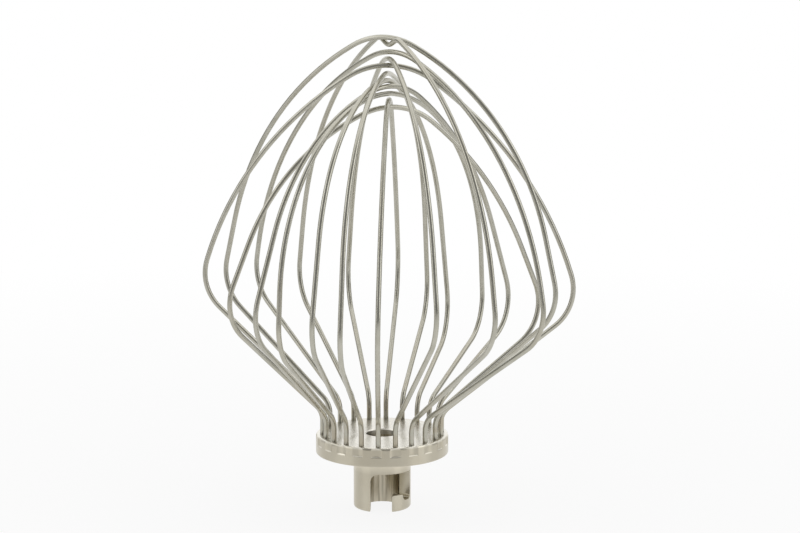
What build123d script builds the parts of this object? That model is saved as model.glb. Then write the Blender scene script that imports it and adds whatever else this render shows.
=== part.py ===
from build123d import *
from math import asin, atan2, cos, hypot, radians, sin, tan
import os

# A wire whisk for a stand mixer, standing on the end of its hub tube, in millimetres.
# The bore runs up +Z from the origin. Angles are seen from above, 0 towards -Y, growing towards +X.

# Hub: a turned tube with a wide flange
TUBE_DIA = 21.6
BORE_DIA = 13.0
TUBE_LENGTH = 21.2
TUBE_END_ROUND = 1.0
FLANGE_DIA = 50.0
FLANGE_HEIGHT = 7.3
FLANGE_TOP_ROUND = 1.0
FLANGE_BOTTOM_ROUND = 0.5
TOP_WEB = 2.0
TOP_HOLE_DIA = 10.5

# Bayonet slot in the tube: an entry channel, a run to the side and a seat that drops below the run
CHANNEL_ANGLE = -2.0
CHANNEL_WIDTH = 8.1
SLOT_TOP = 14.8
SLOT_CORNER_ROUND = 3.0
LAND_TOP = 6.4
LAND_ROUND = 0.8
MOUTH_ROUND = 0.6
SEAT_ANGLE = 61.0
SEAT_WIDTH = 5.2
SEAT_DEPTH = 2.5

# Wire feet, in blind holes round the flange. A round punch has dented the rim beside each to hold it, down
# to a floor that slopes outwards.
WIRE_DIA = 1.9
FIRST_FOOT_ANGLE = -3.4
FOOT_CIRCLE_DIA = 45.0
FOOT_DEPTH = 5.0
FOOT_CLEARANCE = 0.03
DENT_WIDTH = 4.3
DENT_HEIGHT = 3.8
DENT_DEPTH = 0.55
DENT_FLOOR_SLOPE = 48.0
DENT_TURN = -1.3

# The plain loop that every loop is bent from. Shoulders are the wide corners low on its two sides and
# haunches the corners below its crown. Rises start at the foot bends, drops at the loop's own crown.
FOOT_BEND_HEIGHT = 8.5
FOOT_BEND_RADIUS = 8.0
SHOULDER_REACH = 72.0
SHOULDER_RISE = 37.0
SHOULDER_RADIUS = 18.0
HAUNCH_REACH = 54.0
HAUNCH_DROP = 20.0
CROWN_RADIUS = 28.0

# Crowns pass over each other near one line, which stands a little to one side of the hub
TALLEST_CROWN_RISE = 141.5
CROWN_GAP = 0.7
CAGE_SHIFT = 2.5

# The second loop dips under the first where they cross, so that both reach about the same height
DIPPED_LEVEL = 1
DIP_SPAN = 13.0
DIP_RADIUS = 5.0

# The loops from the tallest crown down. Hand bending leaves each a little different from the plain loop:
# number of the front foot, angle of the loop's upright plane, then as shares of the plain loop's sizes
# (shoulder reach, rise), (haunch reach, drop), how far the front side leans up and how far the loop
# shifts forward. The last two are shares of the shoulder reach.
LOOPS = [
    (4, 61, (1.01, 1.16), (1.03, 1.28), 0.03, -0.015),
    (2, 31, (1.01, 1.03), (1.10, 1.28), 0.03, 0.04),
    (3, 46, (1.06, 1.08), (1.17, 1.32), 0.01, 0.04),
    (1, 14, (0.99, 1.05), (0.98, 1.18), 0.07, 0.03),
    (5, 84, (1.00, 1.19), (1.02, 1.66), -0.03, 0.00),
    (-1, -13.5, (0.97, 0.86), (1.05, 0.62), 0.04, 0.06),
    (-2, -21, (1.00, 0.81), (0.96, 0.55), 0.14, 0.07),
    (-4, -47, (0.94, 0.92), (0.81, 1.02), 0.08, 0.01),
    (-3, -32, (1.00, 0.78), (1.22, 0.19), 0.10, 0.03),
    (0, -3, (1.00, 1.08), (0.91, 1.76), 0.03, 0.00),
    (-5, -66, (0.93, 0.97), (0.80, 1.08), 0.08, 0.00),
]

# Share of its room that a round or bend takes where it is as large as fits
ROOM_FILL = 0.98

# Worked out from the sizes above
BORE_RADIUS = BORE_DIA / 2
TUBE_RADIUS = TUBE_DIA / 2
FLANGE_RADIUS = FLANGE_DIA / 2
HUB_HEIGHT = TUBE_LENGTH + FLANGE_HEIGHT
SEAT_FLOOR = LAND_TOP - SEAT_DEPTH
SEAT_ROUND = ROOM_FILL * min(SEAT_WIDTH / 2, SEAT_DEPTH - LAND_ROUND)
RIM_SAGITTA = FLANGE_RADIUS - (FLANGE_RADIUS**2 - (DENT_WIDTH / 2) ** 2) ** 0.5
DENT_SAGITTA = DENT_DEPTH - RIM_SAGITTA
DENT_RADIUS = ((DENT_WIDTH / 2) ** 2 + DENT_SAGITTA**2) / (2 * DENT_SAGITTA)
FOOT_RADIUS = FOOT_CIRCLE_DIA / 2
FOOT_COUNT = 2 * len(LOOPS)
FOOT_PITCH = 360 / FOOT_COUNT
FOOT_END = HUB_HEIGHT - FOOT_DEPTH
FOOT_BEND = HUB_HEIGHT + FOOT_BEND_HEIGHT
TALLEST_CROWN = FOOT_BEND + TALLEST_CROWN_RISE
CROWN_STEP = WIRE_DIA + CROWN_GAP
CAGE_LINE = Vector(CAGE_SHIFT, 0, 0)


def place(angle, reach, height):
    """Point at a reach from the axis, in the direction of an angle."""
    return Vector(reach * sin(radians(angle)), -reach * cos(radians(angle)), height)


def foot_angle(number):
    """Direction of a foot, counted from the first."""
    return FIRST_FOOT_ANGLE + number * FOOT_PITCH


def hub_blank():
    """Tube and flange turned in one piece, with the top hole through the web above the bore."""
    outline = Polyline(
        (BORE_RADIUS, 0),
        (TUBE_RADIUS, 0),
        (TUBE_RADIUS, TUBE_LENGTH),
        (FLANGE_RADIUS, TUBE_LENGTH),
        (FLANGE_RADIUS, HUB_HEIGHT),
        (TOP_HOLE_DIA / 2, HUB_HEIGHT),
        (TOP_HOLE_DIA / 2, HUB_HEIGHT - TOP_WEB),
        (BORE_RADIUS, HUB_HEIGHT - TOP_WEB),
        close=True,
    )
    blank = revolve(Plane.XZ * make_face(outline), Axis.Z)
    tube_end = blank.edges().group_by(Axis.Z)[0].sort_by(SortBy.LENGTH)[-1]
    blank = fillet(tube_end, TUBE_END_ROUND)
    top_rim = blank.edges().group_by(SortBy.LENGTH)[-1].sort_by(Axis.Z)[-1]
    blank = fillet(top_rim, FLANGE_TOP_ROUND)
    bottom_rim = blank.edges().group_by(SortBy.LENGTH)[-1].sort_by(Axis.Z)[0]
    return fillet(bottom_rim, FLANGE_BOTTOM_ROUND)


def upright(left, right, bottom, top):
    """Rectangle between these edges, in a plane seen from the front."""
    return Pos((left + right) / 2, (bottom + top) / 2) * Rectangle(right - left, top - bottom)


def rounded(face, corner, radius):
    """Face with a round at the vertex nearest to this corner."""
    return fillet(face.vertices().sort_by_distance(corner)[0], radius)


def channel_face():
    """Entry channel seen from the front, flared at its mouth and opening into the run at its right."""
    wall = CHANNEL_WIDTH / 2
    mouth = wall + 2 * MOUTH_ROUND
    face = upright(-wall, wall, 0, SLOT_TOP)
    face += upright(wall, wall + 2 * LAND_ROUND, LAND_TOP, SLOT_TOP)
    face += upright(-mouth, mouth, -MOUTH_ROUND, 0)
    face = rounded(face, (-wall, SLOT_TOP), SLOT_CORNER_ROUND)
    face = rounded(face, (wall, LAND_TOP), LAND_ROUND)
    face = rounded(face, (-wall, 0), MOUTH_ROUND)
    return rounded(face, (wall, 0), MOUTH_ROUND)


def seat_face():
    """Seat of the cross pin seen from the front, opening into the run at its left."""
    wall = SEAT_WIDTH / 2
    face = upright(-wall, wall, SEAT_FLOOR, SLOT_TOP)
    face += upright(-wall - 2 * LAND_ROUND, -wall, LAND_TOP, SLOT_TOP)
    face = rounded(face, (-wall, LAND_TOP), LAND_ROUND)
    return fillet(face.vertices().group_by(Axis.Y)[0], SEAT_ROUND)


def slot_cutters():
    """Channel, run and seat of the bayonet slot, each reaching out past the tube wall."""
    run_face = upright(0, FLANGE_RADIUS, LAND_TOP, SLOT_TOP)
    run = revolve(Plane.XZ * run_face, Axis.Z, revolution_arc=SEAT_ANGLE - CHANNEL_ANGLE)
    return [
        Rot(Z=CHANNEL_ANGLE) * extrude(Plane.XZ * channel_face(), FLANGE_RADIUS),
        Rot(Z=CHANNEL_ANGLE - 90) * run,
        Rot(Z=SEAT_ANGLE) * extrude(Plane.XZ * seat_face(), FLANGE_RADIUS),
    ]


def dent_cutter():
    """One punched dent, open at the top of the rim, on the side towards -Y."""
    punch = Cylinder(DENT_RADIUS, 2 * DENT_HEIGHT)
    punch = Pos(0, DENT_DEPTH - FLANGE_RADIUS - DENT_RADIUS, HUB_HEIGHT) * punch
    floor = Plane((0, -FLANGE_RADIUS, HUB_HEIGHT - DENT_HEIGHT)).rotated((DENT_FLOOR_SLOPE, 0, 0))
    return split(punch, bisect_by=floor, keep=Keep.TOP)


def make_hub():
    """Hub with its bayonet slot, the blind holes for the wire feet and the dents that hold them."""
    on_floor = (Align.CENTER, Align.CENTER, Align.MIN)
    hole = Cylinder(WIRE_DIA / 2 + FOOT_CLEARANCE, FOOT_DEPTH, align=on_floor)
    cutters = slot_cutters()
    for number in range(FOOT_COUNT):
        angle = foot_angle(number)
        cutters.append(Pos(place(angle, FOOT_RADIUS, FOOT_END)) * hole)
        cutters.append(Rot(Z=angle + DENT_TURN) * dent_cutter())
    return hub_blank() - cutters


def half_turn(before, corner, after):
    """Tangent of half the angle that a wire turns through at a corner."""
    return tan(radians((corner - before).get_angle(after - corner)) / 2)


def fitted_bends(corners, bends):
    """Fills each open bend with the largest radius that its neighbours leave room for."""
    runs = [(after - before).length for before, after in zip(corners, corners[1:])]
    turns = [half_turn(*corners[spot : spot + 3]) for spot in range(len(bends))]
    taken = [(bend or 0) * turn for bend, turn in zip(bends, turns)]
    fitted = list(bends)
    for spot, bend in enumerate(bends):
        if bend is None:
            room = min(runs[spot] - taken[spot - 1], runs[spot + 1] - taken[spot + 1])
            fitted[spot] = ROOM_FILL * room / turns[spot]
    return fitted


def bent_wire(corners, bends):
    """Round wire along straight runs joined by tangent bends."""
    path = FilletPolyline(*corners, radius=fitted_bends(corners, bends))
    section = Plane(path @ 0, z_dir=path % 0) * Circle(WIRE_DIA / 2)
    return sweep(section, path)


def slope_to_bend(reach, rise, radius):
    """Slope of a run to a bend whose centre is this far in from the run's start and this far above it."""
    return tan(asin(radius / hypot(reach, rise)) + atan2(rise, reach))


def plain_crown(in_plane, front, back, middle, reach, top):
    """Corner and bend of a crown with its top on the loop's middle line and runs up from the haunches."""
    centre = top - CROWN_RADIUS
    front_slope = slope_to_bend(reach, centre - front, CROWN_RADIUS)
    back_slope = slope_to_bend(reach, centre - back, CROWN_RADIUS)
    offset = (front - back + reach * (front_slope - back_slope)) / (front_slope + back_slope)
    return [in_plane(middle + offset, front + (reach - offset) * front_slope)], [CROWN_RADIUS]


def dipped_crown(in_plane, top):
    """Corners and bends of a crown that dips under another on the crossing line."""
    half = DIP_SPAN / 2
    dip_centre = top - CROWN_STEP + DIP_RADIUS
    depth = half * slope_to_bend(half, top - dip_centre, DIP_RADIUS)
    corners = [in_plane(half, top), in_plane(0, top - depth), in_plane(-half, top)]
    return corners, [DIP_RADIUS] * len(corners)


def make_loop(level, foot, plane, shoulder, haunch, lean, shift):
    """One loop, from its front foot up over the crown and down to the opposite foot."""
    dipped = level == DIPPED_LEVEL
    top = TALLEST_CROWN if dipped else TALLEST_CROWN - level * CROWN_STEP
    middle = shift * SHOULDER_REACH
    shoulder_reach = shoulder[0] * SHOULDER_REACH
    shoulder_height = FOOT_BEND + shoulder[1] * SHOULDER_RISE
    haunch_reach = haunch[0] * HAUNCH_REACH
    haunch_height = top - haunch[1] * HAUNCH_DROP

    def in_plane(reach, height):
        return CAGE_LINE + place(plane, reach, height)

    def limb(side):
        up = side * lean * SHOULDER_REACH
        return [
            place(foot_angle(foot), side * FOOT_RADIUS, FOOT_END),
            place(foot_angle(foot), side * FOOT_RADIUS, FOOT_BEND),
            in_plane(middle + side * shoulder_reach, shoulder_height + up),
            in_plane(middle + side * haunch_reach, haunch_height + up),
        ]

    front = limb(1)
    back = limb(-1)
    if dipped:
        crown, crown_bends = dipped_crown(in_plane, top)
    else:
        crown, crown_bends = plain_crown(in_plane, front[-1].Z, back[-1].Z, middle, haunch_reach, top)
    limb_bends = [FOOT_BEND_RADIUS, SHOULDER_RADIUS, None]
    return bent_wire(front + crown + back[::-1], limb_bends + crown_bends + limb_bends[::-1])


os.makedirs("parts", exist_ok=True)
export_step(make_hub(), "parts/hub.step")
for level, row in enumerate(LOOPS):
    export_step(make_loop(level, *row), f"parts/wire_loop_{level + 1:02d}.step")
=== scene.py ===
"""A stand mixer's wire whisk on a white floor, between two large soft boxes."""
from math import radians

import bpy
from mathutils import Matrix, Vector


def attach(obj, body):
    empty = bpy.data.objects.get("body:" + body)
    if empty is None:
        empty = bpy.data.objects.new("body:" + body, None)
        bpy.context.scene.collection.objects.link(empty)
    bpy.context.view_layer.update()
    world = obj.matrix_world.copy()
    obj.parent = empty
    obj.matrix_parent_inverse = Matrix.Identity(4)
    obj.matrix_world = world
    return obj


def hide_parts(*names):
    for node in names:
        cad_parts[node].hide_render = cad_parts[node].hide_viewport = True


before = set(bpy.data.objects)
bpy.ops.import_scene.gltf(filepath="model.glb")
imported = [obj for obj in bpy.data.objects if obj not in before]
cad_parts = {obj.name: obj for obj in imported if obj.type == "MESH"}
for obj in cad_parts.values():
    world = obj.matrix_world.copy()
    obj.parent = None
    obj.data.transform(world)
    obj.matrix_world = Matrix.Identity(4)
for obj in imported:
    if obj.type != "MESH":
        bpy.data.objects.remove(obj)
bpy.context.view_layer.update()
scene = bpy.context.scene
scene.view_settings.view_transform = "Standard"

# All lengths are in metres.
# The hole in the hub's top face: its radius below the chamfer, the chamfer, and how its points are found
HOLE_RADIUS = 0.006
CHAMFER = 0.0004
CAD_HOLE_WITHIN = 0.006
HOLE_EDGE_ABOVE = 0.028

# Where the hub's surface changes, as bands of reach from its axis
BORE_WALL = (0.0064, 0.0066)
RIM_INSIDE = (0.0236, 0.0238)
RIM_SKIN = (0.0248, 0.02495)

# The same, as bands of height
PALE_BAND_START = (0.0145, 0.0175)
FLANGE_FOOT = (0.0212, 0.0214)
DENT_FOOT = (0.0243, 0.0245)
DENT_FLOOR = (0.02505, 0.0253)
WEB_FOOT = (0.0262, 0.0264)
RIM_EDGE = (0.0275, 0.028)
FACED_TOP = (0.0282, 0.0284)

# Heights over which the shade painted dark at the wires' feet, and their stains, fade out above the hub
PAINTED_FOOT_SHADE_END = (0.0286, 0.0298)
STAIN_END = (0.03, 0.06)

FLOOR_HALF = 4.0
FLOOR_GREY = (0.7, 0.7, 0.7, 1.0)
WHITE = (1.0, 1.0, 1.0, 1.0)

# Strengths of the room's light
ROOM = 0.3
WALL = 1.0
CEILING = 1.2
CEILING_SHARE_IN_FRONT = 0.18

BOX_WIDTH = 0.7
BOX_HEIGHT = 0.9
LEFT_POWER = 1.85
RIGHT_POWER = 2.3
MIDDLE = (0.0, 0.0, 0.09)


class Nodes:
    """Short ways to add nodes to one node tree and link them."""

    def __init__(self, tree):
        self.tree = tree
        self.tree.nodes.clear()

    def fill(self, socket, value):
        """Gives an input a constant or another node's socket."""
        if isinstance(value, bpy.types.NodeSocket):
            self.tree.links.new(value, socket)
        else:
            socket.default_value = value

    def add(self, kind, inputs=None, **settings):
        node = self.tree.nodes.new(kind)
        for name, value in settings.items():
            setattr(node, name, value)
        for name, value in (inputs or {}).items():
            self.fill(node.inputs[name], value)
        return node

    def noise(self, vector, scale, detail=2.0, roughness=0.5):
        inputs = {"Vector": vector, "Scale": scale, "Detail": detail, "Roughness": roughness}
        return self.add("ShaderNodeTexNoise", inputs).outputs["Fac"]

    def between(self, value, band, start, end):
        """Takes a band of values to start..end, and no further."""
        low, high = band
        inputs = {"Value": value, "From Min": low, "From Max": high, "To Min": start, "To Max": end}
        return self.add("ShaderNodeMapRange", inputs).outputs["Result"]

    def rise(self, value, band, top=1.0):
        """0 below the band, top above it."""
        return self.between(value, band, 0.0, top)

    def fall(self, value, band, top=1.0):
        """Top below the band, 0 above it."""
        return self.between(value, band, top, 0.0)

    def maths(self, operation, first, second):
        return self.add("ShaderNodeMath", {0: first, 1: second}, operation=operation).outputs[0]

    def times(self, first, second):
        return self.maths("MULTIPLY", first, second)

    def larger(self, first, second):
        return self.maths("MAXIMUM", first, second)

    def vectors(self, operation, first, second):
        inputs = {0: first, 1: second}
        return self.add("ShaderNodeVectorMath", inputs, operation=operation).outputs[0]

    def length(self, vector):
        return self.add("ShaderNodeVectorMath", {0: vector}, operation="LENGTH").outputs["Value"]

    def split(self, vector):
        return self.add("ShaderNodeSeparateXYZ", {0: vector}).outputs

    def join(self, across, along, up):
        return self.add("ShaderNodeCombineXYZ", {0: across, 1: along, 2: up}).outputs[0]

    def blend(self, factor, first, second):
        node = self.add("ShaderNodeMix", data_type="RGBA")
        for socket, value in ((0, factor), (6, first), (7, second)):
            self.fill(node.inputs[socket], value)
        return node.outputs[2]

    def bump(self, height, strength, distance):
        inputs = {"Strength": strength, "Distance": distance, "Height": height}
        return self.add("ShaderNodeBump", inputs).outputs["Normal"]

    def metal(self, colour, roughness, normal, more=None):
        """Ends a material in a metal surface."""
        inputs = {"Base Color": colour, "Metallic": 1.0, "Roughness": roughness, "Normal": normal}
        surface = self.add("ShaderNodeBsdfPrincipled", {**inputs, **(more or {})})
        self.add("ShaderNodeOutputMaterial", {"Surface": surface.outputs[0]})

    def background_rays(self):
        """Whether a ray sees the background straight, and whether it does in or through the object."""
        path = self.add("ShaderNodeLightPath").outputs
        return path["Is Camera Ray"], self.larger(path["Is Glossy Ray"], path["Is Transmission Ray"])


def srgb(*values):
    """A colour given by its screen values, as the renderer takes it."""
    linear = []
    for value in values:
        share = value / 255
        linear.append(share / 12.92 if value <= 10 else ((share + 0.055) / 1.055) ** 2.4)
    return (*linear, 1.0)


def new_material(name):
    material = bpy.data.materials.new(name)
    material.use_nodes = True
    return material, Nodes(material.node_tree)


def wire_material():
    """Drawn steel wire: satin, with draw marks, dull patches, low stains, and shade painted dark at the
    feet where they meet the hub.
    """
    material, nodes = new_material("drawn_wire")
    coords = nodes.add("ShaderNodeTexCoord").outputs
    place = coords["Object"]
    height = nodes.split(place)["Z"]
    # The normal turns round the wire and stays the same along it, so noise over it runs lengthwise
    drift = nodes.vectors("MULTIPLY", place, (9.0, 9.0, 9.0))
    draw_marks = nodes.noise(nodes.vectors("ADD", coords["Normal"], drift), 4.0, 1.0, 0.5)
    patches = nodes.noise(place, 160.0, 3.0, 0.55)
    broad = nodes.noise(place, 28.0, 1.0)
    dull = srgb(179, 177, 165)
    bright = srgb(192, 190, 179)
    colour = nodes.blend(nodes.rise(patches, (0.35, 0.65)), dull, bright)
    colour = nodes.blend(nodes.rise(draw_marks, (0.5, 0.7), 0.25), colour, srgb(156, 152, 137))
    colour = nodes.blend(nodes.rise(broad, (0.4, 0.62), 0.3), colour, srgb(183, 177, 160))
    stained = nodes.times(nodes.rise(patches, (0.45, 0.6), 0.45), nodes.fall(height, STAIN_END))
    colour = nodes.blend(stained, colour, srgb(158, 142, 114))
    # Painted shade: the wires' feet are darkened where they meet the hub
    colour = nodes.blend(nodes.fall(height, PAINTED_FOOT_SHADE_END, 0.45), colour, srgb(96, 90, 76))
    roughness = nodes.between(patches, (0.3, 0.7), 0.18, 0.26)
    nodes.metal(colour, roughness, nodes.bump(draw_marks, 0.01, 0.00004))
    return material


def hub_material():
    """Turned aluminium: pale and warm, with rings that stretch its highlights, and light and dark streaks
    painted in the bore as reflections.
    """
    material, nodes = new_material("turned_aluminium")
    place = nodes.add("ShaderNodeTexCoord").outputs["Object"]
    across, along, up = nodes.split(place)
    flat = nodes.join(across, along, 0.0)
    reach = nodes.length(flat)
    turning = nodes.noise(nodes.join(reach, up, 0.0), 2600.0, 2.0, 0.6)
    grain = nodes.noise(place, 1800.0, 3.0, 0.6)
    cloud = nodes.noise(place, 90.0, 3.0, 0.55)
    around = nodes.add("ShaderNodeVectorMath", {0: flat}, operation="NORMALIZE").outputs["Vector"]
    slow_climb = nodes.join(0.0, 0.0, nodes.times(up, 6.0))
    painted_reflection_streaks = nodes.noise(nodes.vectors("ADD", around, slow_climb), 7.0, 2.0)
    colour = nodes.blend(nodes.rise(cloud, (0.35, 0.65)), srgb(193, 186, 168), srgb(201, 195, 178))
    colour = nodes.blend(nodes.rise(grain, (0.5, 0.75), 0.1), colour, srgb(170, 162, 144))
    # Light and dark streaks are painted in the bore as reflected bands; the drilled hole above it is paler
    bore = nodes.blend(nodes.rise(painted_reflection_streaks, (0.42, 0.58)), srgb(140, 132, 113), srgb(214, 205, 185))
    inside = nodes.fall(reach, BORE_WALL)
    colour = nodes.blend(inside, colour, bore)
    drilled = nodes.times(inside, nodes.rise(up, WEB_FOOT))
    colour = nodes.blend(drilled, colour, srgb(206, 203, 194))
    # The faced top is paler partly because of its finish and partly as a painted sheen that stands for the
    # bright light it reflects
    faced_and_painted_sheen = nodes.rise(up, FACED_TOP)
    colour = nodes.blend(faced_and_painted_sheen, colour, srgb(238, 235, 226))
    # Highlights are painted pale on the dents' floors and along the rim's upper edge
    inside_rim = nodes.times(nodes.rise(reach, RIM_INSIDE), nodes.fall(reach, RIM_SKIN))
    painted_highlight_heights = nodes.larger(nodes.fall(up, DENT_FLOOR, 0.9), nodes.rise(up, RIM_EDGE, 0.6))
    painted_highlights = nodes.times(nodes.times(inside_rim, painted_highlight_heights), nodes.rise(up, DENT_FOOT))
    colour = nodes.blend(painted_highlights, colour, srgb(238, 234, 222))
    # A pale band is painted on the tube just under the flange, as painted reflected light where the flange
    # shades it
    painted_pale_band = nodes.times(nodes.rise(up, PALE_BAND_START, 0.8), nodes.fall(up, FLANGE_FOOT))
    colour = nodes.blend(painted_pale_band, colour, srgb(228, 221, 203))
    roughness = nodes.between(cloud, (0.3, 0.7), 0.29, 0.35)
    roughness = nodes.between(faced_and_painted_sheen, (0.0, 1.0), roughness, 0.26)
    relief = nodes.maths("ADD", nodes.times(turning, 0.6), nodes.times(grain, 0.4))
    tangent = nodes.add("ShaderNodeTangent", direction_type="RADIAL", axis="Z")
    rings = {"Anisotropic": 0.85, "Anisotropic Rotation": 0.25, "Tangent": tangent.outputs[0]}
    nodes.metal(colour, roughness, nodes.bump(relief, 0.03, 0.00005), rings)
    return material


def open_hub(material):
    """Stands for the hub, with the hole in its top face as wide as the real one's and chamfered."""
    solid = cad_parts["hub"].data
    points = [vertex.co.copy() for vertex in solid.vertices]
    hole = {index for index, point in enumerate(points) if point.xy.length < CAD_HOLE_WITHIN}
    inward = {index: -points[index].xy.normalized() for index in hole}
    # Each point of the hole's upper edge gets a foot, where the chamfer meets the wall
    foot = {}
    for index in sorted(hole):
        point = points[index]
        place = Vector((*(inward[index] * -HOLE_RADIUS), point.z))
        if point.z > HOLE_EDGE_ABOVE:
            foot[index] = len(points)
            points.append(place - Vector((0.0, 0.0, CHAMFER)))
            place.xy = inward[index] * -(HOLE_RADIUS + CHAMFER)
        points[index] = place
    faces = []
    normals = []
    for polygon in solid.polygons:
        corners = list(polygon.vertices)
        normals += [solid.corner_normals[loop].vector.copy() for loop in polygon.loop_indices]
        if not hole.issuperset(corners):
            faces.append(corners)
            continue
        # A face of the hole's wall ends at the feet, and a strip of the chamfer joins it to the edge
        faces.append([foot.get(corner, corner) for corner in corners])
        for first, second in zip(corners, corners[1:] + corners[:1]):
            if first in foot and second in foot:
                faces.append([first, second, foot[second], foot[first]])
                for end in (first, second, second, first):
                    normals.append(Vector((*inward[end], 1.0)).normalized())
    mesh = bpy.data.meshes.new("hub_open")
    mesh.from_pydata(points, [], faces)
    mesh.shade_smooth()
    mesh.normals_split_custom_set(normals)
    mesh.materials.append(material)
    piece = bpy.data.objects.new("hub_open", mesh)
    scene.collection.objects.link(piece)
    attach(piece, "root")
    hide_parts("hub")


def dress(node, material):
    """Gives a CAD node its material."""
    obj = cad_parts[node]
    obj.data.materials.clear()
    obj.data.materials.append(material)


def make_floor():
    """A white floor that also closes the view behind the object and keeps its shadow."""
    mesh = bpy.data.meshes.new("floor")
    corners = [(x * FLOOR_HALF, y * FLOOR_HALF, 0) for x, y in ((-1, -1), (1, -1), (1, 1), (-1, 1))]
    mesh.from_pydata(corners, [], [(0, 1, 2, 3)])
    floor = bpy.data.objects.new("floor", mesh)
    scene.collection.objects.link(floor)
    material, nodes = new_material("white_floor")
    material.cycles.emission_sampling = "NONE"
    plain = nodes.add("ShaderNodeBsdfDiffuse", {"Color": FLOOR_GREY})
    white = nodes.add("ShaderNodeEmission", {"Color": WHITE, "Strength": 1.0})
    place = nodes.add("ShaderNodeTexCoord").outputs["Object"]
    distance = nodes.length(place)
    across, along, _ = nodes.split(place)
    # Metal sees the white floor behind the object and close to it, a little less of it to the left
    behind = nodes.rise(along, (0.0, 0.3))
    close = nodes.fall(distance, (0.2, 0.6))
    straight, mirrored = nodes.background_rays()
    mirrored = nodes.times(mirrored, nodes.larger(behind, close))
    mirrored = nodes.times(mirrored, nodes.between(across, (-0.2, 0.05), 0.78, 1.0))
    # Under the object some of the lit floor shows, and the shadow with it
    share = nodes.times(nodes.larger(straight, mirrored), nodes.between(distance, (0.05, 0.5), 0.88, 1.0))
    mixed = nodes.add("ShaderNodeMixShader", {0: share, 1: plain.outputs[0], 2: white.outputs[0]})
    nodes.add("ShaderNodeOutputMaterial", {"Surface": mixed.outputs[0]})
    mesh.materials.append(material)


def make_world():
    """A grey room with a white wall behind the object and a pale ceiling that darkens towards the front."""
    world = bpy.data.worlds.new("studio")
    world.use_nodes = True
    nodes = Nodes(world.node_tree)
    direction = nodes.split(nodes.add("ShaderNodeTexCoord").outputs["Generated"])
    wall = nodes.between(direction["Y"], (0.5, 0.85), ROOM, WALL)
    ceiling = nodes.between(direction["Z"], (0.25, 0.6), ROOM, CEILING)
    to_the_back = nodes.between(direction["Y"], (-0.35, 0.05), CEILING_SHARE_IN_FRONT, 1.0)
    strength = nodes.larger(wall, nodes.times(ceiling, to_the_back))
    background = nodes.add("ShaderNodeBackground", {"Color": WHITE, "Strength": strength})
    nodes.add("ShaderNodeOutputWorld", {"Surface": background.outputs[0]})
    scene.world = world


def soft_box(name, place, power):
    """A large rectangular lamp turned towards the middle of the object."""
    data = bpy.data.lights.new(name, "AREA")
    data.shape = "RECTANGLE"
    data.size = BOX_WIDTH
    data.size_y = BOX_HEIGHT
    data.energy = power
    lamp = bpy.data.objects.new(name, data)
    lamp.location = place
    lamp.rotation_euler = (Vector(MIDDLE) - Vector(place)).to_track_quat("-Z", "Y").to_euler()
    scene.collection.objects.link(lamp)


def make_camera():
    """Looks at the front, slightly from above."""
    data = bpy.data.cameras.new("camera")
    data.sensor_width = 36.0
    data.lens = 147.02
    camera = bpy.data.objects.new("camera", data)
    camera.location = (0.00674, -1.2, 0.32324)
    camera.rotation_euler = (radians(79.11), 0.0, 0.0)
    scene.collection.objects.link(camera)
    scene.camera = camera


wire = wire_material()
metal = hub_material()
dress("hub", metal)
open_hub(metal)
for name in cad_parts:
    if name.startswith("wire_loop"):
        dress(name, wire)

make_floor()
make_world()
soft_box("left_box", (-0.85, -0.35, 0.5), LEFT_POWER)
soft_box("right_box", (0.85, -0.35, 0.5), RIGHT_POWER)
make_camera()
